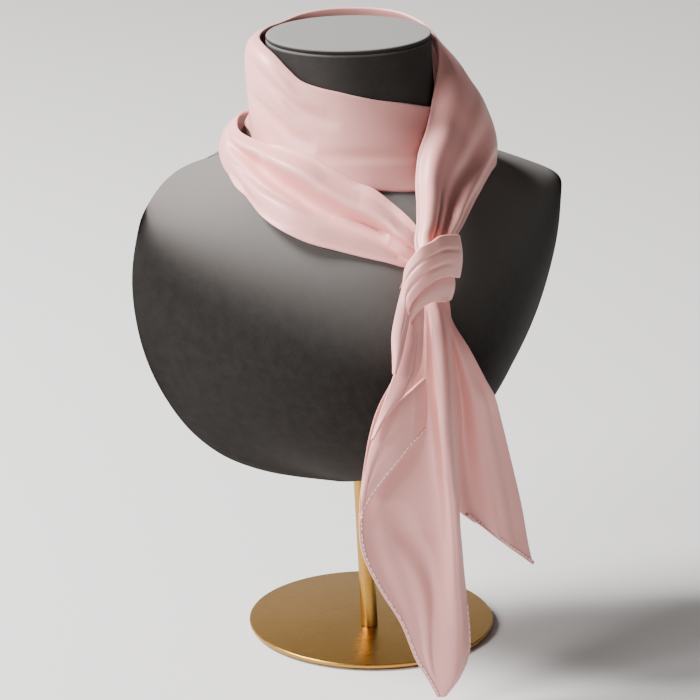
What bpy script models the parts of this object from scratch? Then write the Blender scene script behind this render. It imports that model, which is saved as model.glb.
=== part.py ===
"""A 90 cm silk square, folded on the bias and knotted round the neck of a limbless display bust.

Metres, +Z up. The origin is the middle of the stand's underside and the bust faces -Y.
The tables are in millimetres and degrees. Each stretch of cloth is one closed wall, worked out from a
row for each of its sections, and is laid over what is already beneath it.
"""
import bpy
import bmesh
import numpy as np
from math import pi
from mathutils import Vector
from mathutils.bvhtree import BVHTree

MM = 0.001

# ---- driving sizes, in millimetres ----
WALL = 1.6              # thickness of a folded stretch of silk
GAP = 0.35              # clear space left between neighbours
FACET_ALLOWANCE = 0.42  # more space where flat facets could cut a corner
KNOT_REACH = 5.0        # how deep a piece of the knot is lifted out of its neighbour
KNOT_ALLOWANCE = 0.1    # its extra space, less because its facets are small
NECK_X = -5.5           # the bust's middle plane
NECK_Y = 28.0           # the neck's axis, from the middle of the stand
BASE_RADIUS = 80.0
PAD_RADIUS = 76.0
PAD_THICK = 1.0
BASE_TOP = 4.0
BASE_EDGE = 0.7
POST_RADIUS = 5.35
POST_FOOT = (-5.6, -12.4)
POST_HEAD = (-5.6, 3.6)
BUST_BOTTOM = 104.0
BUST_TOP = 388.7
CAP_TOP = 392.0
CAP_HALF_WIDTH = 53.0
CAP_HALF_DEPTH = 47.0
CAP_EDGE = 1.2
BUST_SIDES = 48
BUST_RINGS = 44
ROUND_SIDE = 10.0       # how widely the bust's form is rounded off at its two sides
ROUND_SHOULDER = 26.0   # how much more between its sides and its middle

# Level sections of the bust, bottom to top: height, half width, how far back its widest line lies,
# front, back, and how pointed the section is at that line (0.5 is an ellipse, 1 a pointed lens).
BUST_SECTIONS = (
    # up, half_width, widest_y, front_y, back_y, pointed
    (104, 22, -2, -10, 6, 0.50),
    (107, 46, 5, -17, 16, 0.60),
    (115, 77, 17, -36, 30, 0.72),
    (130, 101, 33, -68, 46, 0.95),
    (150, 116.5, 37, -94, 56, 1.12),
    (180, 132, 36.5, -110, 64, 1.12),
    (220, 143, 32, -112, 68, 1.02),
    (255, 146, 25, -98, 72, 0.92),
    (280, 143, 19, -80, 74, 0.88),
    (291, 139.5, 19, -67, 77, 0.86),
    (296, 119, 52, -59, 79, 0.80),
    (301, 99, 73, -51, 81, 0.72),
    (309, 80.5, 64, -41, 80, 0.60),
    (320, 64.5, 46, -33, 78, 0.55),
    (340, 55, 28, -26, 76, 0.50),
    (388.7, 53, 28, -18.6, 74.6, 0.50),
)

# A stretch round the neck has a row for each section, from its start to its end. Each edge has a
# place round the neck's axis: degrees from the front towards -X, out from the axis, and up. The
# crown is how far the cloth bows out between its edges, and at what part of the way across.
BAND_COLUMNS = ("top_turn", "top_out", "top_up", "low_turn", "low_out", "low_up", "crown", "crown_at")
UPPER_STRIP = (
    (-78, 56, 341, -78, 67, 306, 1.0, 0.5),
    (-49, 55, 347, -45, 71, 304, 1.0, 0.5),
    (-19, 51.5, 355, -16, 74, 306, 1.0, 0.5),
    (5, 51, 360.5, 5, 72, 309, 1.0, 0.5),
    (26, 52.5, 365.5, 24, 70, 310, 1.0, 0.5),
    (39, 54, 368, 38, 67, 311, 1.5, 0.5),
    (52, 55.5, 371.5, 52, 64, 313, 3.0, 0.4),
    (63, 56, 378, 64, 62, 318, 5.0, 0.3),
    (76, 56.5, 385, 78, 62, 322, 6.5, 0.22),
    (92, 57, 388.5, 92, 62, 326, 7.0, 0.2),
    (109, 57, 389.5, 108, 61, 331, 7.0, 0.2),
    (130, 55, 390.5, 130, 58, 333, 5.0, 0.25),
    (145, 53, 391, 145, 55, 332, 3.0, 0.35),
    (163, 51.5, 391.5, 163, 54.5, 330, 2.0, 0.45),
    (180, 51, 392, 180, 55, 328, 1.5, 0.5),
    (201, 52.5, 392, 201, 57, 326, 1.5, 0.5),
    (220, 54, 392, 220, 61, 323, 2.0, 0.5),
    (239, 55, 392, 237, 73, 319, 3.0, 0.5),
    (262, 56.5, 389.5, 256, 88, 310, 6.0, 0.58),
    (277, 57, 384, 268, 98, 304.5, 10.0, 0.60),
    (291, 57, 374, 280, 96, 303, 11.0, 0.60),
    (305, 57, 362, 293, 90.5, 302.5, 11.0, 0.60),
    (318, 59, 348, 305, 89, 301, 9.0, 0.60),
    (331, 64.5, 337.5, 317, 91.5, 299, 7.0, 0.55),
    (341, 70, 327, 326, 95.5, 296, 6.0, 0.50),
    (349, 82, 314, 334, 101.5, 292, 5.0, 0.50),
    (355, 101, 305, 341, 110, 289.5, 4.5, 0.50),
    (359, 118, 297, 347, 119, 287, 4.0, 0.50),
    (361, 125, 291, 350, 123, 285, 3.5, 0.50),
)
# The strip's named stretches, by the rows where each starts and ends.
STRETCHES = {
    "scarf_front_band": (0, 10),
    "scarf_back_band": (10, 17),
    "scarf_right_drop": (17, 28),
}
SEAM_ROWS = 0.012       # half the gap between two stretches, as a part of a row
LEFT_WRAP = (
    (200, 53, 323, 200, 56, 297, 1.0, 0.5),
    (180, 54, 325, 180, 56.5, 298, 1.0, 0.5),
    (160, 56.5, 328, 160, 61, 302, 1.5, 0.5),
    (140, 61, 332, 140, 72, 309, 2.0, 0.5),
    (124, 68, 336, 124, 82, 314, 3.0, 0.5),
    (108, 71, 336, 106, 82, 315, 3.0, 0.5),
    (95, 72, 333, 92, 82, 310.5, 3.0, 0.5),
    (82, 69.5, 331.5, 76, 82, 305, 3.0, 0.5),
    (70, 65.5, 330, 62, 90.5, 300.5, 3.0, 0.5),
    (56, 64.5, 329, 51, 101, 296, 2.5, 0.5),
    (42, 65, 326, 42, 107, 291.5, 2.5, 0.5),
    (30, 67, 319.5, 33, 108.5, 286, 2.0, 0.5),
    (19, 71, 314.5, 24, 108.5, 282, 2.0, 0.5),
    (9, 77, 311, 15, 110.5, 278, 2.0, 0.5),
    (2, 86, 303.5, 8, 113.5, 275, 2.0, 0.5),
    (-2, 98, 297, 3, 116, 272, 2.0, 0.5),
    (-4, 107, 291, -3, 117, 269.5, 1.0, 0.5),
)

# The knot's pieces have a row for each section along the band: its upper and its lower edge.
# Each row of a knot or tail strip is top_x, top_y, top_up, low_x, low_y, low_up.
KNOT_WRAP = (
    (21, -91, 288, 20, -94, 265),
    (20, -98, 291, 19.5, -101, 266),
    (5, -108.5, 295, 8, -111, 271),
    (-3, -112, 293, -1.5, -115.5, 271),
    (-10, -113.5, 291, -8, -118, 269),
    (-15, -113, 286, -13.5, -119, 265),
    (-19.5, -112, 279, -18.5, -119, 259),
    (-21.5, -112.5, 268.5, -20.5, -119, 253),
    (-26, -116, 256, -21, -120, 247),
    (-31.5, -122, 241, -25, -124.5, 238),
    (-33.5, -128, 229, -29, -129, 228.5),
)
KNOT_UNDER = (
    (12, -97, 268, 11, -98, 254),
    (15, -101.5, 269, 13.5, -103, 253),
    (6.5, -107.5, 272, 4.5, -109.5, 255),
    (-1, -111.5, 272.5, -4, -114.5, 256.5),
    (-8.5, -113, 270, -10.5, -116.3, 254.5),
    (-14, -114.2, 264, -15.5, -117, 250.5),
    (-18, -114.5, 257, -19.5, -117.5, 246.5),
)
TAIL_STRIP = (
    (-17, -113, 252, -8, -112, 257),
    (-20, -116.5, 244, -9, -114.5, 248.5),
    (-23.5, -119.5, 235, -10.5, -117.5, 239),
    (-28, -123.5, 225.5, -12.5, -121.5, 229),
    (-33, -127, 215, -15.5, -125, 219),
    (-38.5, -130, 204.5, -22, -128.5, 210),
    (-43.5, -132.5, 195, -31, -131, 201.5),
)
TAIL_FLAP = (
    (-12.5, -125.5, 212, -12.5, -130.5, 183),
    (-20, -127, 206, -24, -133, 172),
    (-32, -130, 199, -35, -135.5, 161),
    (-42, -131, 190, -45, -136, 150),
    (-49, -132, 175, -52, -136.5, 141),
    (-53.5, -134, 160, -56, -136.5, 133),
    (-56.5, -135, 148, -58, -137, 128),
)
TAIL_RIGHT = (
    (4, -105, 250, 12, -103, 250),
    (5, -112, 238, 12, -109, 240),
    (6, -116, 220, 21, -115, 223),
    (7, -118, 200, 31, -116.5, 203),
    (8, -119, 182, 37.5, -116, 191),
    (9, -119.5, 162, 43.5, -112.5, 173.5),
    (10, -119.5, 143, 52, -109, 144.5),
    (12, -119, 128, 60.5, -106.5, 113),
    (15, -118, 119, 66.5, -104, 86),
    (19, -117, 115, 71, -102, 70),
)

# Level sections of the front tail's under layer, from its left edge over a valley and a tubular roll
# to its right edge.
TAIL_FRONT_COLUMNS = ("up", "left_x", "left_y", "valley_x", "valley_y", "roll_x", "roll_y",
                      "edge_x", "edge_y")
TAIL_FRONT = (
    (262, -9, -103, -6, -103, 0, -106, 8, -101),
    (248, -12, -109, -7, -110, 0, -115, 8, -110),
    (232, -15, -115, -9, -117, -1, -124, 8, -117),
    (212, -30, -119, -12, -122, -2, -131, 8, -122),
    (196, -41, -122, -13, -126, -2.5, -135, 7, -126),
    (181, -47.5, -125, -13, -129, -3, -138, 6.5, -129),
    (165, -51.5, -127, -12.5, -131, -2.5, -140, 7, -131),
    (150, -54.5, -129, -12, -133, -2, -141.5, 7, -132.5),
    (137, -56.5, -131, -11.5, -134.5, -1, -143, 7.5, -133.5),
    (117, -57.5, -134.5, -11, -136, 0, -144.5, 8, -134.5),
    (103, -55, -137, -10.5, -138, 0.5, -145.5, 9, -135.5),
    (83, -46, -139, -10, -140, 1, -146.5, 10.5, -136.5),
    (60, -33, -141, -12, -142, 2, -148, 12.5, -138.5),
    (36, -24, -143, -13, -144.5, 1, -149.5, 13, -140.5),
    (21, -16, -145, -11, -146, -1, -149, 6, -144),
    (9, -10, -146, -8.5, -146.5, -7, -147, -5, -146.5),
)
TAIL_FRONT_ACROSS = (0.0, 0.45, 0.75, 1.0)  # where the four named places lie across the tail

# Large folds: which rows they run between, where across the stretch they start and end (0 is the
# top edge), their half width as a part of the way across, and their height. A trough is negative.
FOLD_COLUMNS = ("start_row", "end_row", "across_start", "across_end", "half_width", "height")
FOLDS = {
    "scarf_front_band": (
        (4.0, 9.5, 0.30, 0.16, 0.12, -1.6),
        (5.0, 9.5, 0.55, 0.50, 0.14, -1.8),
    ),
    "scarf_right_drop": (
        (22.0, 28.5, 0.30, 0.36, 0.12, -2.2),
        (19.0, 28.5, 0.78, 0.70, 0.16, -4.0),
    ),
    "scarf_left_wrap": (
        (6.0, 16.0, 0.12, 0.40, 0.16, 3.0),
        (7.0, 16.0, 0.30, 0.80, 0.14, -4.5),
        (8.0, 15.0, 0.72, 0.92, 0.20, 3.0),
    ),
    "scarf_tail_right": (
        (2.0, 9.0, 0.30, 0.30, 0.28, -3.5),
    ),
}


def smooth_rows(rows, places):
    """Values of a table's columns at fractional row numbers, on a smooth curve through the rows."""
    rows = np.array(rows, float)
    slope = np.gradient(rows, axis=0)
    places = np.clip(places, 0, len(rows) - 1)
    low = np.minimum(places.astype(int), len(rows) - 2)
    t = (places - low)[:, None]
    h_start = 2 * t**3 - 3 * t**2 + 1
    h_slope = t**3 - 2 * t**2 + t
    h_end = 3 * t**2 - 2 * t**3
    h_end_slope = t**3 - t**2
    return (h_start * rows[low] + h_slope * slope[low]
            + h_end * rows[low + 1] + h_end_slope * slope[low + 1])


def named(columns, values):
    """A dictionary from column names to the arrays beneath them."""
    return dict(zip(columns, values.T))


def round_neck(turn, out, up):
    """A place by its turn round the neck from the front towards -X, its reach and its height."""
    angle = np.radians(turn)
    return np.stack([NECK_X - out * np.sin(angle), NECK_Y - out * np.cos(angle), up], -1)


def grid_normals(grid):
    """Unit normals of a grid of points, turned away from the bust's axis."""
    normal = np.cross(np.gradient(grid, axis=0), np.gradient(grid, axis=1))
    normal /= np.linalg.norm(normal, axis=2, keepdims=True)
    away = grid - np.array([NECK_X, NECK_Y, 0.0])
    away[..., 2] = 0
    return normal if (normal * away).sum() > 0 else -normal


def add_folds(grid, rows_at, across, folds):
    """Moves a grid's points along its normals by soft ridges and troughs that fade at their ends."""
    height = np.zeros(grid.shape[:2])
    for fold in folds:
        row = dict(zip(FOLD_COLUMNS, fold))
        part = (rows_at - row["start_row"]) / (row["end_row"] - row["start_row"])
        fade = np.where((part > 0) & (part < 1), np.sin(pi * np.clip(part, 0, 1)) ** 0.7, 0)
        middle = row["across_start"] + (row["across_end"] - row["across_start"]) * part
        away = np.abs(across[None, :] - middle[:, None]) / row["half_width"]
        height += row["height"] * fade[:, None] * np.where(away < 1, np.cos(away * pi / 2) ** 2, 0)
    return grid + grid_normals(grid) * height[..., None]


def ruled(top, low, crown, crown_at, across):
    """A grid of points from one edge to the other, bowed out by the crown."""
    grid = top[:, None, :] + (low - top)[:, None, :] * across[None, :, None]
    power = np.log(0.5) / np.log(crown_at)
    bow = crown[:, None] * np.sin(pi * across[None, :] ** power[:, None])
    return grid + grid_normals(grid) * bow[..., None]


def band_grid(rows, folds, steps, cells, start=0, end=None):
    """A stretch that runs round the neck, from one of its rows to another."""
    rows_at = np.linspace(start, len(rows) - 1 if end is None else end, steps + 1)
    across = np.linspace(0, 1, cells + 1)
    c = named(BAND_COLUMNS, smooth_rows(rows, rows_at))
    top = round_neck(c["top_turn"], c["top_out"], c["top_up"])
    low = round_neck(c["low_turn"], c["low_out"], c["low_up"])
    grid = ruled(top, low, c["crown"], c["crown_at"], across)
    return add_folds(grid, rows_at, across, folds)


def stretch_grid(name, steps, cells):
    """One named stretch of the upper strip, just short of its neighbours."""
    start, end = STRETCHES[name]
    start += SEAM_ROWS if start > 0 else 0
    end -= SEAM_ROWS if end < len(UPPER_STRIP) - 1 else 0
    return band_grid(UPPER_STRIP, FOLDS.get(name, ()), steps, cells, start, end)


def strip_grid(rows, folds, steps, cells, crown=1.5):
    """A stretch whose two edges are given directly."""
    rows_at = np.linspace(0, len(rows) - 1, steps + 1)
    across = np.linspace(0, 1, cells + 1)
    values = smooth_rows(rows, rows_at)
    bow = np.full(steps + 1, crown)
    grid = ruled(values[:, :3], values[:, 3:], bow, np.full(steps + 1, 0.5), across)
    return add_folds(grid, rows_at, across, folds)


def tail_front_grid(steps, cells):
    """The front tail: level sections on a smooth curve through their four named places."""
    rows_at = np.linspace(0, len(TAIL_FRONT) - 1, steps + 1)
    across = np.linspace(0, 1, cells + 1)
    places = np.interp(across, TAIL_FRONT_ACROSS, range(4))
    grid = []
    for row in smooth_rows(TAIL_FRONT, rows_at):
        section = smooth_rows(row[1:].reshape(4, 2), places)
        grid.append(np.c_[section, np.full(cells + 1, row[0])])
    return np.array(grid)


def halved(grid):
    """The grid with a point added in the middle of every cell's side and of every cell."""
    rows = np.repeat(grid, 2, axis=0)[:-1]
    rows[1::2] = (rows[:-2:2] + rows[2::2]) / 2
    fine = np.repeat(rows, 2, axis=1)[:, :-1]
    fine[:, 1::2] = (fine[:, :-2:2] + fine[:, 2::2]) / 2
    return fine


def settle(grid, beneath, reach, allowance):
    """Lifts a grid's points along its normals until the wall clears everything laid before it."""
    depsgraph = bpy.context.evaluated_depsgraph_get()
    trees = [BVHTree.FromObject(piece, depsgraph) for piece in beneath]
    fine = halved(grid)
    normal = grid_normals(fine)
    need = WALL / 2 + GAP + allowance
    lift = np.zeros(fine.shape[:2])
    for index in np.ndindex(lift.shape):
        direction = Vector(normal[index])
        start = Vector((fine[index] + normal[index] * reach) * MM)
        for tree in trees:
            hit = tree.ray_cast(start, -direction, 2 * reach * MM)[3]
            if hit is not None:
                lift[index] = max(lift[index], reach - hit / MM + need)
    padded = np.pad(lift, 1, mode="edge")
    near = [padded[i:i + lift.shape[0], j:j + lift.shape[1]] for i in range(3) for j in range(3)]
    wanted = np.max(near, axis=0)[::2, ::2]
    lift = wanted
    for _ in range(3):
        padded = np.pad(lift, 1, mode="edge")
        around = (padded[:-2, 1:-1] + padded[2:, 1:-1] + padded[1:-1, :-2] + padded[1:-1, 2:]) / 4
        lift = np.maximum(wanted, around)
    return grid + grid_normals(grid) * lift[..., None]


def new_object(name, bm, material):
    """A named object, smooth shaded, made from a bmesh."""
    mesh = bpy.data.meshes.new(name)
    bm.to_mesh(mesh)
    bm.free()
    mesh.shade_smooth()
    mesh.materials.append(material)
    piece = bpy.data.objects.new(name, mesh)
    bpy.context.scene.collection.objects.link(piece)
    return piece


def new_material(name, colour, roughness, metallic=0.0):
    material = bpy.data.materials.new(name)
    material.use_nodes = True
    shader = material.node_tree.nodes["Principled BSDF"]
    shader.inputs["Base Color"].default_value = (*colour, 1)
    shader.inputs["Roughness"].default_value = roughness
    shader.inputs["Metallic"].default_value = metallic
    return material


def cloth_wall(name, grid, material):
    """A closed wall of even thickness on a grid of points."""
    steps = grid.shape[0] - 1
    cells = grid.shape[1] - 1
    bm = bmesh.new()
    bmesh.ops.create_grid(bm, x_segments=steps, y_segments=cells, size=1)
    for vertex in bm.verts:
        i = round((vertex.co.x + 1) / 2 * steps)
        j = round((vertex.co.y + 1) / 2 * cells)
        vertex.co = Vector(grid[i, j] * MM)
    piece = new_object(name, bm, material)
    thicken = piece.modifiers.new("Wall", "SOLIDIFY")
    thicken.thickness = WALL * MM
    thicken.offset = 0
    return piece


def loft(name, rings, material):
    """A closed body through level rings of equally many points, with flat ends."""
    bm = bmesh.new()
    loops = [[bm.verts.new(Vector(point) * MM) for point in ring] for ring in rings]
    count = len(loops[0])
    for lower, upper in zip(loops, loops[1:]):
        for k in range(count):
            bm.faces.new((lower[k], lower[(k + 1) % count], upper[(k + 1) % count], upper[k]))
    bm.faces.new(list(reversed(loops[0])))
    bm.faces.new(loops[-1])
    return new_object(name, bm, material)


def bust_ring(up, half_width, widest_y, front_y, back_y, pointed):
    """One level section of the bust: a lens whose two bows meet at its widest line."""
    angle = np.linspace(0, 2 * pi, BUST_SIDES, endpoint=False)
    side = np.cos(angle)
    depth = np.sin(angle)
    reach = np.where(depth < 0, widest_y - front_y, back_y - widest_y)
    x = NECK_X + half_width * side
    y = widest_y + reach * np.sign(depth) * np.abs(depth) ** (2 * pointed)
    return np.stack([x, y, np.full(BUST_SIDES, up)], -1)


def by_height(table, up):
    """A table's other columns at a height, on smooth curves through its uneven rows."""
    table = np.array(table, float)
    heights = table[:, 0]
    slope = np.gradient(table, heights, axis=0)
    k = int(np.clip(np.searchsorted(heights, up, "right") - 1, 0, len(heights) - 2))
    span = heights[k + 1] - heights[k]
    t = (up - heights[k]) / span
    return ((2 * t**3 - 3 * t**2 + 1) * table[k] + (t**3 - 2 * t**2 + t) * span * slope[k]
            + (3 * t**2 - 2 * t**3) * table[k + 1] + (t**3 - t**2) * span * slope[k + 1])


def rounded(line, reach):
    """A line of points, evenly spaced and rounded off over a reach, with both ends kept."""
    length = np.r_[0, np.cumsum(np.linalg.norm(np.diff(line, axis=0), axis=1))]
    even = np.linspace(0, length[-1], int(length[-1]) + 1)
    points = np.stack([np.interp(even, length, line[:, k]) for k in range(3)], -1)
    step = even[1]
    half = int(4 * reach / step)
    weight = np.exp(-0.5 * (np.arange(-half, half + 1) * step / reach) ** 2)
    weight /= weight.sum()
    before = 2 * points[0] - points[1:half + 1][::-1]
    after = 2 * points[-1] - points[-half - 1:-1][::-1]
    points = np.concatenate([before, points, after])
    return np.stack([np.convolve(points[:, k], weight, "valid") for k in range(3)], -1)


def bust_rings():
    """The bust's surface as rings from bottom to top, rounded off along its upright lines."""
    heights = np.linspace(BUST_BOTTOM, BUST_TOP, 400)
    level = np.array([bust_ring(*by_height(BUST_SECTIONS, up)) for up in heights])
    lines = []
    for k in range(BUST_SIDES):
        reach = ROUND_SIDE + ROUND_SHOULDER * abs(np.sin(4 * pi * k / BUST_SIDES))
        line = rounded(level[:, k], reach)
        places = np.linspace(0, len(line) - 1, BUST_RINGS)
        lines.append(np.stack([np.interp(places, range(len(line)), line[:, c]) for c in range(3)], -1))
    return np.stack(lines, axis=1)


def make_bust(material):
    return loft("bust_form", bust_rings(), material)


def make_neck_cap(material):
    """The padded disc on top of the neck, with a soft rim."""
    rings = []
    angle = np.linspace(0, 2 * pi, BUST_SIDES, endpoint=False)
    bottom = BUST_TOP + GAP
    for inset, up in ((0.5, bottom), (0.0, bottom + 0.6), (0.0, CAP_TOP - CAP_EDGE),
                      (0.3 * CAP_EDGE, CAP_TOP - 0.35 * CAP_EDGE), (CAP_EDGE, CAP_TOP)):
        x = NECK_X + (CAP_HALF_WIDTH - inset) * np.cos(angle)
        y = NECK_Y + (CAP_HALF_DEPTH - inset) * np.sin(angle)
        rings.append(np.stack([x, y, np.full(BUST_SIDES, up)], -1))
    return loft("neck_cap", rings, material)


def make_post(material):
    """A leaning brass tube, cut level where it meets the stand and the bust."""
    angle = np.linspace(0, 2 * pi, 24, endpoint=False)
    rings = []
    for (x, y), up in ((POST_FOOT, BASE_TOP + GAP), (POST_HEAD, BUST_BOTTOM - GAP)):
        rings.append(np.stack([x + POST_RADIUS * np.cos(angle), y + POST_RADIUS * np.sin(angle),
                               np.full(24, up)], -1))
    return loft("post", rings, material)


def make_disc(name, radius, bottom, top, edge, material):
    """A flat round plate with small rounded rims."""
    bm = bmesh.new()
    bmesh.ops.create_cone(bm, cap_ends=True, segments=72, radius1=radius * MM, radius2=radius * MM,
                          depth=(top - bottom) * MM)
    bmesh.ops.translate(bm, verts=bm.verts, vec=(0, 0, (top + bottom) / 2 * MM))
    rims = [e for e in bm.edges if abs(e.verts[0].co.z - e.verts[1].co.z) < 1e-6]
    if edge > 0:
        bmesh.ops.bevel(bm, geom=rims, offset=edge * MM, offset_type="OFFSET", segments=2, profile=0.5,
                        affect="EDGES", material=-1)
    return new_object(name, bm, material)


def make_scarf(silk, bust, cap):
    """The stretches of cloth, each laid over what is beneath it."""
    made = {"bust_form": bust, "neck_cap": cap}

    def lay(name, grid, over, reach=30.0, allowance=FACET_ALLOWANCE):
        settled = settle(grid, [made[other] for other in over], reach, allowance)
        made[name] = cloth_wall(name, settled, silk)

    stand = ["bust_form", "neck_cap"]
    lay("scarf_front_band", stretch_grid("scarf_front_band", 34, 8), stand)
    lay("scarf_back_band", stretch_grid("scarf_back_band", 22, 8), stand)
    bands = stand + ["scarf_front_band", "scarf_back_band"]
    lay("scarf_left_wrap", band_grid(LEFT_WRAP, FOLDS["scarf_left_wrap"], 42, 11), bands)
    over = stand + ["scarf_front_band", "scarf_left_wrap"]
    lay("scarf_right_drop", stretch_grid("scarf_right_drop", 30, 10), over)
    over = ["bust_form", "scarf_left_wrap"]
    lay("scarf_tail_right", strip_grid(TAIL_RIGHT, FOLDS["scarf_tail_right"], 22, 8), over)
    over = over + ["scarf_tail_right"]
    lay("scarf_tail_front", tail_front_grid(32, 12), over)
    over = over + ["scarf_tail_front"]
    lay("scarf_tail_flap", strip_grid(TAIL_FLAP, (), 14, 7), over)
    over = over + ["scarf_tail_flap"]
    lay("scarf_tail_strip", strip_grid(TAIL_STRIP, (), 12, 5), [])
    over = ["scarf_tail_front", "scarf_tail_strip"]
    lay("scarf_knot_under", strip_grid(KNOT_UNDER, (), 16, 5), over, KNOT_REACH, KNOT_ALLOWANCE)
    over = ["scarf_tail_strip", "scarf_knot_under", "scarf_right_drop", "scarf_left_wrap"]
    lay("scarf_knot_wrap", strip_grid(KNOT_WRAP, (), 26, 8), over, KNOT_REACH, KNOT_ALLOWANCE)
    return made


def main():
    for old in list(bpy.data.objects):
        bpy.data.objects.remove(old, do_unlink=True)
    silk = new_material("pink_silk", (0.75, 0.50, 0.50), 0.35)
    velvet = new_material("grey_velvet", (0.045, 0.043, 0.042), 0.9)
    top_velvet = new_material("light_grey_velvet", (0.12, 0.12, 0.12), 0.9)
    brass = new_material("brushed_brass", (0.55, 0.38, 0.18), 0.3, 1.0)
    felt = new_material("black_felt", (0.02, 0.02, 0.02), 0.95)
    make_disc("base_pad", PAD_RADIUS, 0, PAD_THICK, 0, felt)
    make_disc("base_plate", BASE_RADIUS, PAD_THICK + GAP, BASE_TOP, BASE_EDGE, brass)
    make_post(brass)
    bust = make_bust(velvet)
    cap = make_neck_cap(top_velvet)
    make_scarf(silk, bust, cap)


main()
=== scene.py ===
# %% [markdown]
# # A silk square knotted on a display bust
# The object is one square of pink silk satin, 90 cm along each side, folded on the bias, wound round
# the neck of a small shop bust and knotted in front. The bust is a moulded form covered in charcoal
# microfibre, and it stands on a brass post and a round brass plate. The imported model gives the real
# sizes, so every new piece below is worked out in the same frame: the origin is the middle of the
# stand's underside, +Z is up and the bust faces -Y.

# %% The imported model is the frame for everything
from math import pi, radians

import bmesh
import bpy
import numpy as np
from mathutils import Matrix, Vector
from mathutils.bvhtree import BVHTree


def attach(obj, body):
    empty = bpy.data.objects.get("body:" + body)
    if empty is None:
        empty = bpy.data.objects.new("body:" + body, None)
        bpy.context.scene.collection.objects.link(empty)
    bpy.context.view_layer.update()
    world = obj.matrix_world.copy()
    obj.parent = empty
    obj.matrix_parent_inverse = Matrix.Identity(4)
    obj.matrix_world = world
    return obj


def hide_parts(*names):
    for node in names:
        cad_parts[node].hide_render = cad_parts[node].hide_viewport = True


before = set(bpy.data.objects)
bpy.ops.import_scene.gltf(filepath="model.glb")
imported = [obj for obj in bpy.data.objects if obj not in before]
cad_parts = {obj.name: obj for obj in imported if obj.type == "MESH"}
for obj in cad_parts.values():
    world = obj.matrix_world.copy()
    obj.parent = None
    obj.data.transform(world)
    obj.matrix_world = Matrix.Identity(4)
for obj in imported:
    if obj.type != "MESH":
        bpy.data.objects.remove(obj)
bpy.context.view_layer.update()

MM = 0.001

# %% [markdown]
# ## Sizes
# All cloth is worked out in millimetres. A folded stretch of the scarf is two layers of thin satin
# with a soft rounded edge, and the shell is drawn as that: a front layer, a turned edge and a little of
# the layer behind it.

# %% Driving sizes, in millimetres
SILK = 0.30             # thickness of one layer, drawn a little thicker than the real 0.1
PLY = 0.55              # from the middle of a folded stretch to its outer layer
CLEAR = 0.35            # space left over what lies beneath
NECK_X = -5.5           # the bust's middle plane
NECK_Y = 28.0           # the neck's axis
BUST_BOTTOM = 104.0
BUST_TOP = 388.7
CAP_TOP = 392.0
CAP_HALF_WIDTH = 53.0
CAP_HALF_DEPTH = 47.0
GAP = 0.35

# %% [markdown]
# ## The bust's form
# The bust is a lens in plan: two bows that meet at a soft edge at each side. Its level sections are
# kept as a short table, and smooth curves through the table give as many rings as a close view needs.

# %% The bust's level sections, bottom to top
BUST_SECTIONS = (
    # up, half_width, widest_y, front_y, back_y, pointed
    (104, 22, -2, -10, 6, 0.50),
    (107, 46, 5, -17, 16, 0.60),
    (115, 77, 17, -36, 30, 0.72),
    (130, 101, 33, -68, 46, 0.95),
    (150, 116.5, 37, -94, 56, 1.12),
    (180, 132, 36.5, -110, 64, 1.12),
    (220, 143, 32, -112, 68, 1.02),
    (255, 146, 25, -98, 72, 0.92),
    (280, 143, 19, -80, 74, 0.88),
    (291, 139.5, 19, -67, 77, 0.86),
    (296, 119, 52, -59, 79, 0.80),
    (301, 99, 73, -51, 81, 0.72),
    (309, 80.5, 64, -41, 80, 0.60),
    (320, 64.5, 46, -33, 78, 0.55),
    (340, 55, 28, -26, 76, 0.50),
    (388.7, 53, 28, -18.6, 74.6, 0.50),
)


# %% Smooth curves through a table
def by_height(table, up):
    """A table's other columns at a height, on smooth curves through its uneven rows."""
    table = np.array(table, float)
    heights = table[:, 0]
    slope = np.gradient(table, heights, axis=0)
    k = int(np.clip(np.searchsorted(heights, up, "right") - 1, 0, len(heights) - 2))
    span = heights[k + 1] - heights[k]
    t = (up - heights[k]) / span
    return ((2 * t**3 - 3 * t**2 + 1) * table[k] + (t**3 - 2 * t**2 + t) * span * slope[k]
            + (3 * t**2 - 2 * t**3) * table[k + 1] + (t**3 - t**2) * span * slope[k + 1])


def smooth_rows(rows, places):
    """Values of a table's columns at fractional row numbers, on a smooth curve through the rows."""
    rows = np.array(rows, float)
    slope = np.gradient(rows, axis=0)
    places = np.clip(places, 0, len(rows) - 1)
    low = np.minimum(places.astype(int), len(rows) - 2)
    t = (places - low)[:, None]
    return ((2 * t**3 - 3 * t**2 + 1) * rows[low] + (t**3 - 2 * t**2 + t) * slope[low]
            + (3 * t**2 - 2 * t**3) * rows[low + 1] + (t**3 - t**2) * slope[low + 1])


# %% [markdown]
# ## Grids become meshes
# Every shell and every turned form here is a rectangular grid of points, bent into place. Blender's
# own create_grid makes the faces, and the points are then moved: that keeps clean rows of quads that
# follow the cloth, which a remesh would lose. The grid's own lengths become a UV map in metres, so a
# weave can follow the cloth whichever way it turns.

# %% From a grid of points to an object
def uv_lengths(grid):
    """How far each point of a grid lies along and across it, in metres of cloth."""
    along = np.linalg.norm(np.diff(grid, axis=0), axis=2).mean(axis=1)
    across = np.linalg.norm(np.diff(grid, axis=1), axis=2).mean(axis=0)
    return np.r_[0, np.cumsum(along)] * MM, np.r_[0, np.cumsum(across)] * MM


def finish_piece(name, bm, material):
    """A smooth-shaded object at the origin, from a bmesh that is already in place."""
    mesh = bpy.data.meshes.new(name)
    bm.to_mesh(mesh)
    bm.free()
    mesh.shade_smooth()
    mesh.materials.append(material)
    piece = bpy.data.objects.new(name, mesh)
    bpy.context.scene.collection.objects.link(piece)
    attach(piece, "root")
    return piece


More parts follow.
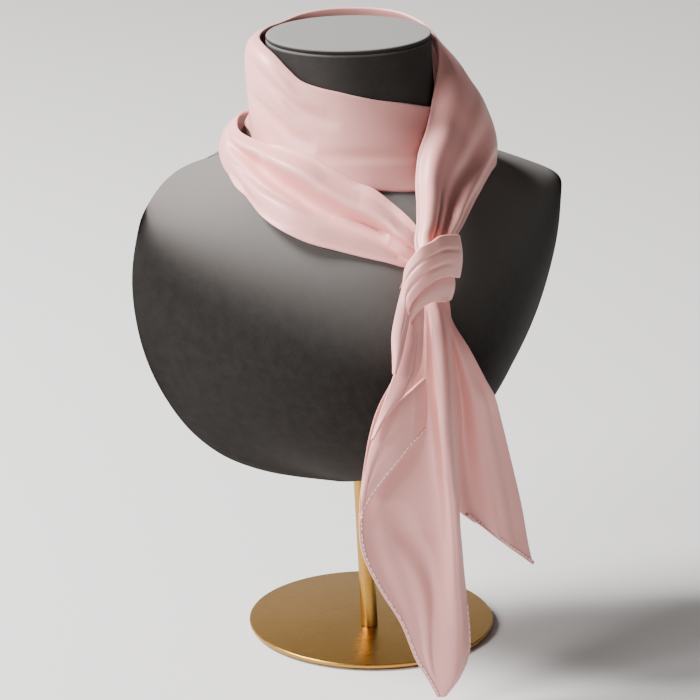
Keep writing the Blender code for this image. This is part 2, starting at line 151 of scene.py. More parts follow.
def grid_bmesh(grid, closed=False):
    """A sheet of quads on a grid of points in millimetres; closed joins its last column to its first."""
    steps = grid.shape[0] - 1
    cells = grid.shape[1] - 1
    bm = bmesh.new()
    uv = bm.loops.layers.uv.new("cloth")
    bmesh.ops.create_grid(bm, x_segments=steps, y_segments=cells, size=1)
    along, across = uv_lengths(grid)
    index = {}
    for vertex in bm.verts:
        i = round((vertex.co.x + 1) / 2 * steps)
        j = round((vertex.co.y + 1) / 2 * cells)
        index[vertex] = (i, j)
        vertex.co = Vector(grid[i, j] * MM)
    for face in bm.faces:
        for loop in face.loops:
            i, j = index[loop.vert]
            loop[uv].uv = (along[i], across[j])
    if closed:
        bmesh.ops.remove_doubles(bm, verts=bm.verts, dist=1e-6)
        bmesh.ops.holes_fill(bm, edges=[e for e in bm.edges if e.is_boundary], sides=0)
    bmesh.ops.recalc_face_normals(bm, faces=bm.faces)
    return bm


# %% [markdown]
# ## Materials
# Four real materials meet here: silk satin, brushed microfibre, brushed brass and felt. Each one is
# built from nodes with its pattern sized from something real, a thread, a fibre or a brush mark.

# %% Small helpers for materials
def linear(hex_colour):
    """An sRGB hex colour as linear red, green, blue and alpha."""
    channels = [int(hex_colour[k:k + 2], 16) / 255 for k in (1, 3, 5)]
    return [c / 12.92 if c <= 0.04045 else ((c + 0.055) / 1.055) ** 2.4 for c in channels] + [1.0]


def add(tree, kind, links=(), **settings):
    """Adds one node, sets its properties and inputs, and links outputs into its inputs."""
    node = tree.nodes.new(kind)
    for key, value in settings.items():
        if key.startswith("in_"):
            node.inputs[key[3:].replace("_", " ")].default_value = value
        else:
            setattr(node, key, value)
    for source, socket in links:
        tree.links.new(source, node.inputs[socket])
    return node


def start_material(name, colour, roughness, **values):
    """A material with a Principled shader whose uniform values are set on its own sockets."""
    material = bpy.data.materials.new(name)
    material.use_nodes = True
    shader = material.node_tree.nodes["Principled BSDF"]
    shader.inputs["Base Color"].default_value = linear(colour)
    shader.inputs["Roughness"].default_value = roughness
    for key, value in values.items():
        shader.inputs[key.replace("_", " ")].default_value = value
    return material, material.node_tree, shader


# %% [markdown]
# ### Silk satin
# Satin floats each warp thread over several weft threads, so it has a soft glow that runs along the
# threads, and hardly any visible weave. Silk threads are about 0.1 mm apart, too fine to show, so the
# bump draws one rib each 0.45 mm. The square is folded on the bias, so the threads cross each stretch
# at 45 degrees. Slow noise gives the slight waviness that every silk has.

# %% Silk satin
def silk_satin(name, colour, shade, thread_mm=0.45):
    material, tree, shader = start_material(
        name, colour, 0.42, Sheen_Weight=0.2, Sheen_Roughness=0.35, Specular_IOR_Level=0.6)
    shader.inputs["Sheen Tint"].default_value = linear("#FFF0EE")
    link = tree.links.new
    coord = add(tree, "ShaderNodeUVMap", uv_map="cloth")
    bias = add(tree, "ShaderNodeMapping", [(coord.outputs["UV"], "Vector")],
               in_Rotation=(0, 0, radians(45)))
    slub = add(tree, "ShaderNodeMapping", [(bias.outputs["Vector"], "Vector")], in_Scale=(60, 900, 1))
    streaks = add(tree, "ShaderNodeTexNoise", [(slub.outputs["Vector"], "Vector")],
                  in_Scale=1.0, in_Detail=3.0, in_Roughness=0.6)
    threads = add(tree, "ShaderNodeTexWave", [(bias.outputs["Vector"], "Vector")],
                  wave_type="BANDS", bands_direction="Y", in_Scale=pi / (10 * thread_mm * MM),
                  in_Distortion=0.4, in_Detail=1.0)
    patches = add(tree, "ShaderNodeTexNoise", [(coord.outputs["UV"], "Vector")],
                  in_Scale=18.0, in_Detail=2.0)
    tint = add(tree, "ShaderNodeMix", [(patches.outputs["Fac"], "Factor")], data_type="RGBA")
    tint.inputs["A"].default_value = linear(colour)
    tint.inputs["B"].default_value = linear(shade)
    link(tint.outputs["Result"], shader.inputs["Base Color"])
    gloss = add(tree, "ShaderNodeMapRange", [(streaks.outputs["Fac"], "Value")],
                in_To_Min=0.36, in_To_Max=0.50)
    link(gloss.outputs["Result"], shader.inputs["Roughness"])
    weave = add(tree, "ShaderNodeBump", [(threads.outputs["Fac"], "Height")],
                in_Strength=0.05, in_Distance=0.0001)
    uneven = add(tree, "ShaderNodeBump", [(streaks.outputs["Fac"], "Height"),
                                          (weave.outputs["Normal"], "Normal")],
                 in_Strength=0.08, in_Distance=0.0003)
    link(uneven.outputs["Normal"], shader.inputs["Normal"])
    return material


satin = silk_satin("silk_satin_pink", "#EEAAA4", "#E8A19B")
hem_satin = silk_satin("silk_satin_hem", "#E8A8A1", "#E29F97")
print("silk satin ready")

# %% [markdown]
# ### Microfibre, brass, thread and felt
# The bust's cover is a brushed microfibre: matt, with a fine mottle where the nap lies different ways and
# a faint light edge from its fuzz. Its upward faces are painted paler, painted light from above. The stand is
# brass, lightly brushed and lacquered, so its highlight is broad. The hem's thread is a twisted silk, and the
# pad under the plate is felt.

# %% Brushed microfibre
def microfibre(name, light, dark, painted_top_colour):
    """Upward faces are painted paler and downward ones darker: painted light from above, mixed into the base
    colour by the normal's height.
    """
    material, tree, shader = start_material(name, light, 0.9, Sheen_Weight=0.05, Sheen_Roughness=0.5,
                                            Specular_IOR_Level=0.05)
    link = tree.links.new
    coord = add(tree, "ShaderNodeTexCoord")
    nap = add(tree, "ShaderNodeTexNoise", [(coord.outputs["Object"], "Vector")],
              in_Scale=900.0, in_Detail=3.0, in_Roughness=0.7)
    drift = add(tree, "ShaderNodeTexNoise", [(coord.outputs["Object"], "Vector")],
                in_Scale=140.0, in_Detail=4.0)
    both = add(tree, "ShaderNodeMath", [(nap.outputs["Fac"], 0), (drift.outputs["Fac"], 1)],
               operation="MULTIPLY")
    ramp = add(tree, "ShaderNodeMapRange", [(both.outputs["Value"], "Value")],
               in_From_Min=0.12, in_From_Max=0.40)
    tint = add(tree, "ShaderNodeMix", [(ramp.outputs["Result"], "Factor")], data_type="RGBA")
    tint.inputs["A"].default_value = linear(dark)
    tint.inputs["B"].default_value = linear(light)
    # Painted light: the base colour runs from the mottle up to a pale top colour as the face turns upwards.
    facing = add(tree, "ShaderNodeNewGeometry")
    upward = add(tree, "ShaderNodeSeparateXYZ", [(facing.outputs["Normal"], "Vector")])
    painted_light_factor = add(tree, "ShaderNodeMapRange", [(upward.outputs["Z"], "Value")], interpolation_type="SMOOTHSTEP",
               in_From_Min=-0.12, in_From_Max=1.05)
    tint_and_painted_light = add(tree, "ShaderNodeMix", [(painted_light_factor.outputs["Result"], "Factor"),
                                       (tint.outputs["Result"], "A")], data_type="RGBA")
    tint_and_painted_light.inputs["B"].default_value = linear(painted_top_colour)
    link(tint_and_painted_light.outputs["Result"], shader.inputs["Base Color"])
    fuzz = add(tree, "ShaderNodeBump", [(nap.outputs["Fac"], "Height")],
               in_Strength=0.35, in_Distance=0.0004)
    link(fuzz.outputs["Normal"], shader.inputs["Normal"])
    return material


# The last colour of each is painted light for upward faces. The cap is the same microfibre in a lighter copy,
# painted light on its top.
charcoal = microfibre("microfibre_charcoal", "#262321", "#1C1A18", "#6C6865")
cap_painted_lighter = microfibre("microfibre_cap_painted_lighter", "#2C2A28", "#242220", "#7A7876")


# %% Brushed brass
def brushed_brass(name, stretch):
    """stretch is the brush marks' scale along X, Y and Z: small along the marks, large across."""
    material, tree, shader = start_material(name, "#B88C42", 0.28, Metallic=1.0)
    link = tree.links.new
    coord = add(tree, "ShaderNodeTexCoord")
    marks = add(tree, "ShaderNodeMapping", [(coord.outputs["Object"], "Vector")], in_Scale=stretch)
    grain = add(tree, "ShaderNodeTexNoise", [(marks.outputs["Vector"], "Vector")],
                in_Scale=1.0, in_Detail=3.0, in_Roughness=0.65)
    clouds = add(tree, "ShaderNodeTexNoise", [(coord.outputs["Object"], "Vector")],
                 in_Scale=22.0, in_Detail=3.0)
    tint = add(tree, "ShaderNodeMix", [(clouds.outputs["Fac"], "Factor")], data_type="RGBA")
    tint.inputs["A"].default_value = linear("#AF8339")
    tint.inputs["B"].default_value = linear("#C0954C")
    link(tint.outputs["Result"], shader.inputs["Base Color"])
    rough = add(tree, "ShaderNodeMapRange", [(grain.outputs["Fac"], "Value")],
                in_To_Min=0.22, in_To_Max=0.36)
    link(rough.outputs["Result"], shader.inputs["Roughness"])
    bump = add(tree, "ShaderNodeBump", [(grain.outputs["Fac"], "Height")],
               in_Strength=0.08, in_Distance=0.0001)
    link(bump.outputs["Normal"], shader.inputs["Normal"])
    return material


plate_brass = brushed_brass("brass_brushed_plate", (30, 900, 30))
post_brass = brushed_brass("brass_brushed_post", (900, 900, 12))


# %% Twisted thread and felt
def fibrous(name, light, dark, scale, roughness):
    material, tree, shader = start_material(name, light, roughness, Sheen_Weight=0.3)
    link = tree.links.new
    coord = add(tree, "ShaderNodeTexCoord")
    fibres = add(tree, "ShaderNodeTexNoise", [(coord.outputs["Object"], "Vector")],
                 in_Scale=scale, in_Detail=4.0, in_Roughness=0.7)
    tint = add(tree, "ShaderNodeMix", [(fibres.outputs["Fac"], "Factor")], data_type="RGBA")
    tint.inputs["A"].default_value = linear(dark)
    tint.inputs["B"].default_value = linear(light)
    link(tint.outputs["Result"], shader.inputs["Base Color"])
    bump = add(tree, "ShaderNodeBump", [(fibres.outputs["Fac"], "Height")],
               in_Strength=0.3, in_Distance=0.0003)
    link(bump.outputs["Normal"], shader.inputs["Normal"])
    return material


thread = fibrous("silk_thread_twisted", "#FFF8F5", "#FBEAE6", 1500.0, 0.5)
felt = fibrous("felt_black", "#2A2827", "#151413", 700.0, 0.95)
for made in (charcoal, cap_painted_lighter, plate_brass, post_brass, thread, felt):
    print("material", made.name)

# %% [markdown]
# ## The bust and its stand
# The CAD bust has 48 sides, which is enough to stand and to collide but shows as facets. The shown one
# has many more rings on the same curves. The cap is a padded disc with a soft rim, and the groove
# under it is the gap between the two covers.

# %% The covered bust
BUST_SIDES = 192
BUST_RINGS = 220
ROUND_SIDE = 10.0       # how widely the form is rounded off at its two sides
ROUND_SHOULDER = 26.0   # how much more between its sides and its middle


def bust_ring(up, half_width, widest_y, front_y, back_y, pointed):
    """One level section: a lens whose two bows meet at its widest line."""
    angle = np.linspace(0, 2 * pi, BUST_SIDES + 1)
    angle[-1] = 0
    depth = np.sin(angle)
    reach = np.where(depth < 0, widest_y - front_y, back_y - widest_y)
    x = NECK_X + half_width * np.cos(angle)
    y = widest_y + reach * np.sign(depth) * np.abs(depth) ** (2 * pointed)
    return np.stack([x, y, np.full(BUST_SIDES + 1, up)], -1)


def even_line(line, count):
    """A line of points with the given number of evenly spaced ones."""
    length = np.r_[0, np.cumsum(np.linalg.norm(np.diff(line, axis=0), axis=1))]
    places = np.linspace(0, length[-1], count)
    return np.stack([np.interp(places, length, line[:, k]) for k in range(3)], -1)


def rounded(line, reach):
    """A line of points rounded off over a reach in millimetres, with both ends kept."""
    length = np.linalg.norm(np.diff(line, axis=0), axis=1).sum()
    points = even_line(line, int(length) + 1)
    step = length / int(length)
    half = int(4 * reach / step)
    weight = np.exp(-0.5 * (np.arange(-half, half + 1) * step / reach) ** 2)
    weight /= weight.sum()
    before = 2 * points[0] - points[1:half + 1][::-1]
    after = 2 * points[-1] - points[-half - 1:-1][::-1]
    points = np.concatenate([before, points, after])
    return np.stack([np.convolve(points[:, k], weight, "valid") for k in range(3)], -1)


level = np.array([bust_ring(*by_height(BUST_SECTIONS, up)) for up in np.linspace(BUST_BOTTOM, BUST_TOP, 400)])
lines = []
for k in range(BUST_SIDES + 1):
    reach = ROUND_SIDE + ROUND_SHOULDER * abs(np.sin(4 * pi * k / BUST_SIDES))
    lines.append(even_line(rounded(level[:, k], reach), BUST_RINGS))
rings = np.stack(lines, axis=1)
rings[:, -1] = rings[:, 0]
bust = finish_piece("bust_cover", grid_bmesh(rings, closed=True), charcoal)
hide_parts("bust_form")
print("bust faces", len(bust.data.polygons))


# %% The padded cap on the neck
def cap_profile():
    """How far in from the rim and how high each ring of the cap lies, from its foot to its top."""
    rim = [(1.2 - 1.2 * np.cos(a), CAP_TOP - 1.26 + 1.2 * np.sin(a)) for a in np.linspace(0, pi / 2, 9)]
    crown = [(8, CAP_TOP - 0.04), (20, CAP_TOP), (40, CAP_TOP)]
    return [(0.9, BUST_TOP + 0.35), (0.25, BUST_TOP + 0.6), (0.0, BUST_TOP + 1.0)] + rim + crown


angle = np.linspace(0, 2 * pi, 145)
angle[-1] = 0
cap_rings = np.array([np.stack([NECK_X + (CAP_HALF_WIDTH - inset) * np.cos(angle),
                                NECK_Y + (CAP_HALF_DEPTH - inset) * np.sin(angle),
                                np.full(145, up)], -1) for inset, up in cap_profile()])
cap = finish_piece("neck_cap_cover", grid_bmesh(cap_rings, closed=True), cap_painted_lighter)
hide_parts("neck_cap")

# %% [markdown]
# The post is a drawn tube and the plate a turned disc, so both come from plain round shapes. A tiny
# bevel on the plate's rims catches the light as the real polished edge does.

# %% Post, plate and pad
POST_RADIUS = 5.35
POST_FOOT = (-5.6, -12.4)
POST_HEAD = (-5.6, 3.6)
BASE_TOP = 4.0

angle = np.linspace(0, 2 * pi, 65)
angle[-1] = 0
tube = []
for part in np.linspace(0, 1, 12):
    x = POST_FOOT[0] + (POST_HEAD[0] - POST_FOOT[0]) * part
    y = POST_FOOT[1] + (POST_HEAD[1] - POST_FOOT[1]) * part
    up = BASE_TOP + GAP + (BUST_BOTTOM - BASE_TOP - 2 * GAP) * part
    tube.append(np.stack([x + POST_RADIUS * np.cos(angle), y + POST_RADIUS * np.sin(angle),
                          np.full(65, up)], -1))
post = finish_piece("post_tube", grid_bmesh(np.array(tube), closed=True), post_brass)
post.data.set_sharp_from_angle(angle=radians(40))
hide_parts("post")


def disc(name, radius, bottom, top, edge, material, node):
    """A flat round plate with rounded rims."""
    bm = bmesh.new()
    bmesh.ops.create_cone(bm, cap_ends=True, segments=192, radius1=radius * MM, radius2=radius * MM,
                          depth=(top - bottom) * MM)
    bmesh.ops.translate(bm, verts=bm.verts, vec=(0, 0, (top + bottom) / 2 * MM))
    rims = [e for e in bm.edges if abs(e.verts[0].co.z - e.verts[1].co.z) < 1e-6]
    bmesh.ops.bevel(bm, geom=rims, offset=edge * MM, offset_type="OFFSET", segments=4, profile=0.5,
                    affect="EDGES", material=-1)
    piece = finish_piece(name, bm, material)
    piece.data.set_sharp_from_angle(angle=radians(35))
    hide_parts(node)
    return piece


disc("stand_plate", 80.0, 1.35, 4.0, 0.8, plate_brass, "base_plate")
disc("stand_pad", 76.0, 0.0, 1.0, 0.2, felt, "base_pad")
print("stand ready")

# %% [markdown]
# ## How the scarf runs
# The folded square starts as the upper strip: across the front of the neck, round the back, where its edge
# stands above the cap, and down over the right shoulder to the knot. The other end comes from under it at
# the back, round the left side and over the front to the knot. Each stretch has a row for each section.
# Places round the neck are degrees from the front towards -X, out from the neck's axis, and up.

# %% The stretches round the neck
BAND_COLUMNS = ("top_turn", "top_out", "top_up", "low_turn", "low_out", "low_up", "crown", "crown_at")
UPPER_STRIP = (
    (-78, 56, 341, -78, 67, 306, 1.0, 0.5),
    (-49, 55, 347, -45, 71, 304, 1.0, 0.5),
    (-19, 51.5, 355, -16, 74, 306, 1.0, 0.5),
    (5, 51, 360.5, 5, 72, 309, 1.0, 0.5),
    (26, 52.5, 365.5, 24, 70, 310, 1.0, 0.5),
    (39, 54, 368, 38, 67, 311, 1.5, 0.5),
    (52, 55.5, 371.5, 52, 64, 313, 3.0, 0.4),
    (63, 56, 378, 64, 62, 318, 5.0, 0.3),
    (76, 56.5, 385, 78, 62, 322, 6.5, 0.22),
    (92, 57, 388.5, 92, 62, 326, 7.0, 0.2),
    (109, 57, 389.5, 108, 61, 331, 7.0, 0.2),
    (130, 55, 390.5, 130, 58, 333, 5.0, 0.25),
    (145, 53, 391, 145, 55, 332, 3.0, 0.35),
    (163, 51.5, 393.5, 163, 54.5, 330, 2.0, 0.45),
    (180, 51, 394.8, 180, 55, 328, 1.5, 0.5),
    (201, 52.5, 395, 201, 57, 326, 1.5, 0.5),
    (220, 54, 395, 220, 61, 323, 2.0, 0.5),
    (239, 55, 394, 237, 73, 319, 3.0, 0.5),
    (262, 56.5, 389.5, 256, 88, 310, 6.0, 0.58),
    (277, 57, 384, 268, 98, 304.5, 10.0, 0.60),
    (291, 57, 374, 280, 96, 303, 11.0, 0.60),
    (305, 57, 362, 293, 90.5, 302.5, 11.0, 0.60),
    (318, 59, 348, 305, 89, 301, 9.0, 0.60),
    (331, 64.5, 337.5, 317, 91.5, 299, 7.0, 0.55),
    (341, 70, 327, 326, 95.5, 296, 6.0, 0.50),
    (349, 82, 314, 334, 101.5, 292, 5.0, 0.50),
    (355, 101, 305, 341, 110, 289.5, 4.5, 0.50),
    (359, 118, 297, 347, 119, 287, 4.0, 0.50),
    (361, 126, 291, 350, 125, 284, 3.0, 0.50),
    (362, 137, 284, 354, 135, 276, 2.0, 0.50),
)
DROP_START = 17         # the row where the upper strip leaves the neck and falls to the knot
LEFT_WRAP = (
    (200, 53, 323, 200, 56, 297, 1.0, 0.5),
    (180, 54, 325, 180, 56.5, 298, 1.0, 0.5),
    (160, 56.5, 328, 160, 61, 302, 1.5, 0.5),
    (140, 61, 332, 140, 72, 309, 2.0, 0.5),
    (124, 68, 336, 124, 82, 314, 3.0, 0.5),
    (108, 71, 336, 106, 82, 315, 3.0, 0.5),
    (95, 72, 333, 92, 82, 310.5, 3.0, 0.5),
    (82, 69.5, 331.5, 76, 82, 305, 3.0, 0.5),
    (70, 65.5, 330, 62, 90.5, 300.5, 3.0, 0.5),
    (56, 64.5, 329, 51, 101, 296, 2.5, 0.5),
    (42, 65, 326, 42, 107, 291.5, 2.5, 0.5),
    (30, 67, 319.5, 33, 108.5, 286, 2.0, 0.5),
    (19, 71, 314.5, 24, 108.5, 282, 2.0, 0.5),
    (9, 77, 311, 15, 110.5, 278, 2.0, 0.5),
    (2, 86, 303.5, 8, 113.5, 275, 2.0, 0.5),
    (-2, 98, 297, 3, 116, 272, 2.0, 0.5),
    (-4, 107, 291, -3, 117, 269.5, 1.0, 0.5),
)

# %% [markdown]
# The knot and the tails hang clear of the neck, so their rows give the two edges directly: top_x, top_y,
# top_up, low_x, low_y, low_up. The left tail's under layer has level sections instead, from its left edge
# over a valley and a tubular roll to its right edge.

# %% The knot and the tails
KNOT_WRAP = (
    (21, -91, 288, 20, -94, 265),
    (20, -98, 291, 19.5, -101, 266),
    (5, -108.5, 295, 8, -111, 271),
    (-3, -112, 293, -1.5, -115.5, 271),
    (-10, -113.5, 291, -8, -118, 269),
    (-15, -113, 286, -13.5, -119, 265),
    (-19.5, -112, 279, -18.5, -119, 259),
    (-21.5, -112.5, 268.5, -20.5, -119, 253),
    (-26, -116, 256, -21, -120, 247),
    (-31.5, -122, 241, -25, -124.5, 238),
    (-33.5, -128, 229, -29, -129, 228.5),
)
KNOT_UNDER = (
    (12, -97, 268, 11, -98, 254),
    (15, -101.5, 269, 13.5, -103, 253),
    (6.5, -107.5, 272, 4.5, -109.5, 255),
    (-1, -111.5, 272.5, -4, -114.5, 256.5),
    (-8.5, -113, 270, -10.5, -116.3, 254.5),
    (-14, -114.2, 264, -15.5, -117, 250.5),
    (-18, -114.5, 257, -19.5, -117.5, 246.5),
)
TAIL_STRIP = (
    (-17, -113, 252, -8, -112, 257),
    (-20, -116.5, 244, -9, -114.5, 248.5),
    (-23.5, -119.5, 235, -10.5, -117.5, 239),
    (-28, -123.5, 225.5, -12.5, -121.5, 229),
    (-33, -127, 215, -15.5, -125, 219),
    (-38.5, -130, 204.5, -22, -128.5, 210),
    (-43.5, -132.5, 195, -31, -131, 201.5),
)
TAIL_FLAP = (
    (-12.5, -125.5, 212, -12.5, -130.5, 183),
    (-20, -127, 206, -24, -133, 172),
    (-32, -130, 199, -35, -135.5, 161),
    (-42, -131, 190, -45, -136, 150),
    (-49, -132, 175, -52, -136.5, 141),
    (-53.5, -134, 160, -56, -136.5, 133),
    (-56.5, -135, 148, -58, -137, 128),
)
TAIL_RIGHT = (
    (4, -105, 250, 12, -103, 250),
    (5, -112, 238, 12, -109, 240),
    (6, -116, 220, 21, -115, 223),
    (7, -118, 200, 31, -116.5, 203),
    (8, -119, 182, 37.5, -116, 191),
    (9, -119.5, 162, 43.5, -112.5, 173.5),
    (10, -119.5, 143, 52, -109, 144.5),
    (12, -119, 128, 60.5, -106.5, 113),
    (15, -118, 119, 66.5, -104, 86),
    (19, -117, 115, 71, -102, 70),
)
RIGHT_START = ((3, -101, 264, 10, -99, 264),)                  # it starts inside the knot
WRAP_POINT = ((-34.5, -131, 219, -33.5, -131.2, 218.8),)      # where each runs out to a point
STRIP_POINT = ((-47.5, -134.5, 187, -41, -133.5, 192), (-50.5, -136.5, 180, -49, -136, 182))
# up, left x and y, valley x and y, roll x and y, right edge x and y
TAIL_FRONT = (
    (262, -9, -103, -6, -103, 0, -106, 8, -101),
    (248, -12, -109, -7, -110, 0, -115, 8, -110),
    (232, -15, -115, -9, -117, -1, -124, 8, -117),
    (212, -30, -119, -12, -122, -2, -131, 8, -122),
    (196, -41, -122, -13, -126, -2.5, -135, 7, -126),
    (181, -47.5, -125, -13, -129, -3, -138, 6.5, -129),
    (165, -51.5, -127, -12.5, -131, -2.5, -140, 7, -131),
    (150, -54.5, -129, -12, -133, -2, -141.5, 7, -132.5),
    (137, -56.5, -131, -11.5, -134.5, -1, -143, 7.5, -133.5),
    (117, -57.5, -134.5, -11, -136, 0, -144.5, 8, -134.5),
    (103, -55, -137, -10.5, -138, 0.5, -145.5, 9, -135.5),
    (83, -46, -139, -10, -140, 1, -146.5, 10.5, -136.5),
    (60, -33, -141, -12, -142, 2, -148, 12.5, -138.5),
    (36, -24, -143, -13, -144.5, 1, -149.5, 13, -140.5),
    (21, -16, -145, -11, -146, -1, -149, 6, -144),
    (9, -10, -146, -8.5, -146.5, -7, -147, -5, -146.5),
)
TAIL_FRONT_ACROSS = (0.0, 0.45, 0.75, 1.0)  # where the four places lie across the tail

# %% [markdown]
# Folds are soft ridges and troughs, placed one by one. Each runs between two rows, starts and ends at its own
# part of the way across (0 is the upper edge), and fades out at both ends. No two are alike in length,
# depth or spacing, as in real cloth.

# %% The folds
FOLD_COLUMNS = ("start_row", "end_row", "across_start", "across_end", "half_width", "height", "lean")
FOLDS = {
    "upper": (
        (4.0, 9.7, 0.34, 0.16, 0.11, -2.2, 0),
        (4.6, 9.2, 0.20, 0.06, 0.08, 1.2, 0),
        (5.0, 9.7, 0.60, 0.50, 0.13, -2.4, 0),
        (1.0, 5.0, 0.55, 0.70, 0.12, -0.9, 0),
        (11.0, 15.5, 0.40, 0.52, 0.14, -1.1, 0),
        (13.0, 18.0, 0.72, 0.60, 0.10, 0.9, 0),
        (18.0, 29.8, 0.20, 0.26, 0.24, 5.5, -2.0),
        (19.0, 29.8, 0.64, 0.66, 0.22, -4.8, 1.0),
        (24.5, 29.6, 0.40, 0.44, 0.06, -1.6, 0),
        (20.0, 27.5, 0.86, 0.84, 0.10, 1.6, 0),
    ),
    "left": (
        (5.5, 12.5, 0.14, 0.20, 0.16, 5.0, 3.0),
        (8.0, 17.2, 0.18, 0.46, 0.20, 7.5, 6.5),
        (5.8, 14.0, 0.36, 0.54, 0.22, -11.0, 0),
        (10.0, 16.8, 0.50, 0.94, 0.13, -7.0, 0),
        (6.5, 14.5, 0.78, 0.84, 0.16, 5.0, -2.0),
    ),
    "tail_right": (
        (2.2, 10.3, 0.36, 0.26, 0.28, -7.5, 0),
        (4.0, 10.0, 0.72, 0.66, 0.14, 1.4, 0),
    ),
    "tail_front": (
        (0.8, 9.5, 0.55, 0.60, 0.07, -3.5, 1.5),
        (0.5, 7.0, 0.84, 0.86, 0.05, -2.6, 0),
        (5.5, 13.0, 0.80, 0.82, 0.06, 1.3, 0),
        (8.0, 12.0, 0.20, 0.46, 0.12, -1.8, 0),
        (9.0, 14.0, 0.30, 0.36, 0.12, 1.4, 0),
        (6.5, 12.0, 0.06, 0.10, 0.07, -0.8, 0),
    ),
    "strip": (
        (1.0, 6.5, 0.62, 0.80, 0.14, -1.0, 0),
    ),
    "flap": (
        (0.5, 5.0, 0.40, 0.55, 0.20, -1.2, 0),
    ),
    "wrap": (
        (1.0, 7.0, 0.34, 0.30, 0.10, -0.9, 0),
        (1.5, 9.0, 0.70, 0.62, 0.12, -1.0, 0),
    ),
}


# %% From rows to grids of points
def named(columns, values):
    return dict(zip(columns, values.T))


def round_neck(turn, out, up):
    """A place by its turn round the neck from the front towards -X, its reach and its height."""
    angle = np.radians(turn)
    return np.stack([NECK_X - out * np.sin(angle), NECK_Y - out * np.cos(angle), up], -1)


def grid_normals(grid):
    """Unit normals of a grid of points, turned away from the bust's axis."""
    normal = np.cross(np.gradient(grid, axis=0), np.gradient(grid, axis=1))
    normal /= np.maximum(np.linalg.norm(normal, axis=2, keepdims=True), 1e-9)
    away = grid - np.array([NECK_X, NECK_Y, 0.0])
    away[..., 2] = 0
    return normal if (normal * away).sum() > 0 else -normal


def add_folds(grid, rows_at, across, folds):
    """Moves a grid's points by soft ridges and troughs that fade at their ends and may lean over."""
    height = np.zeros(grid.shape[:2])
    lean = np.zeros(grid.shape[:2])
    for fold in folds:
        row = dict(zip(FOLD_COLUMNS, fold))
        part = (rows_at - row["start_row"]) / (row["end_row"] - row["start_row"])
        fade = np.where((part > 0) & (part < 1), np.sin(pi * np.clip(part, 0, 1)) ** 0.7, 0)
        middle = row["across_start"] + (row["across_end"] - row["across_start"]) * part
        away = np.abs(across[None, :] - middle[:, None]) / row["half_width"]
        shape = fade[:, None] * np.where(away < 1, np.cos(away * pi / 2) ** 2, 0)
        height += row["height"] * shape
        lean += row["lean"] * shape
    over = np.gradient(grid, axis=1)
    over /= np.maximum(np.linalg.norm(over, axis=2, keepdims=True), 1e-9)
    return grid + grid_normals(grid) * height[..., None] + over * lean[..., None]


def ruled(top, low, crown, crown_at, across):
    """A grid of points from one edge to the other, bowed out by the crown."""
    grid = top[:, None, :] + (low - top)[:, None, :] * across[None, :, None]
    power = np.log(0.5) / np.log(crown_at)
    bow = crown[:, None] * np.sin(pi * across[None, :] ** power[:, None])
    return grid + grid_normals(grid) * bow[..., None]


def band_grid(rows, folds, steps, cells):
    """A stretch that runs round the neck."""
    rows_at = np.linspace(0, len(rows) - 1, steps + 1)
    across = np.linspace(0, 1, cells + 1)
    c = named(BAND_COLUMNS, smooth_rows(rows, rows_at))
    top = round_neck(c["top_turn"], c["top_out"], c["top_up"])
    low = round_neck(c["low_turn"], c["low_out"], c["low_up"])
    grid = ruled(top, low, c["crown"], c["crown_at"], across)
    return add_folds(grid, rows_at, across, folds)


def strip_grid(rows, folds, steps, cells, crown=1.5):
    """A stretch whose two edges are given directly."""
    rows_at = np.linspace(0, len(rows) - 1, steps + 1)
    across = np.linspace(0, 1, cells + 1)
    values = smooth_rows(rows, rows_at)
    bow = np.full(steps + 1, crown)
    grid = ruled(values[:, :3], values[:, 3:], bow, np.full(steps + 1, 0.5), across)
    return add_folds(grid, rows_at, across, folds)


def tail_front_grid(steps, cells):
    """The left tail's under layer: level sections on a smooth curve through their four places."""
    rows_at = np.linspace(0, len(TAIL_FRONT) - 1, steps + 1)
    across = np.linspace(0, 1, cells + 1)
    places = np.interp(across, TAIL_FRONT_ACROSS, range(4))
    grid = []
    for row in smooth_rows(TAIL_FRONT, rows_at):
        section = smooth_rows(row[1:].reshape(4, 2), places)
        grid.append(np.c_[section, np.full(cells + 1, row[0])])
    return add_folds(np.array(grid), rows_at, across, FOLDS["tail_front"])


# %% [markdown]
# ## Laying the cloth down
# Real stretches lie on each other, so each one is lifted along its own normals until it clears what is
# beneath it. The lift is then eased out to its neighbours, because cloth bridges a step softly.

# %% Settling a stretch over what is beneath it
def grid_tree(grid, offset):
    """What a laid stretch looks like to the next one: its surface, moved out by an offset."""
    outer = (grid + grid_normals(grid) * offset).reshape(-1, 3)
    count = grid.shape[1]
    quads = [(i * count + j, i * count + j + 1, (i + 1) * count + j + 1, (i + 1) * count + j)
             for i in range(grid.shape[0] - 1) for j in range(count - 1)]
    return BVHTree.FromPolygons([Vector(p) for p in outer], quads)


def settle(grid, trees, reach, half, ease=30):
    """Lifts a grid's points until a layer of half the given thickness clears every tree."""
    normal = grid_normals(grid)
    lift = np.zeros(grid.shape[:2])
    for index in np.ndindex(lift.shape):
        direction = Vector(normal[index])
        start = Vector(grid[index] + normal[index] * reach)
        for tree in trees:
            hit = tree.ray_cast(start, -direction, 2 * reach)[3]
            if hit is not None:
                lift[index] = max(lift[index], reach - hit + half + CLEAR)
    wanted = lift.copy()
    for _ in range(ease):
        padded = np.pad(lift, 1, mode="edge")
        around = (padded[:-2, 1:-1] + padded[2:, 1:-1] + padded[1:-1, :-2] + padded[1:-1, 2:]) / 4
        lift = np.maximum(wanted, around)
    return grid + normal * lift[..., None]


# %% [markdown]
# ## From one layer to folded silk
# A folded stretch shows a rounded edge, not a cut one. The front layer runs round a small arc at each
# folded edge and a little way back behind itself. A hemmed edge stays single.

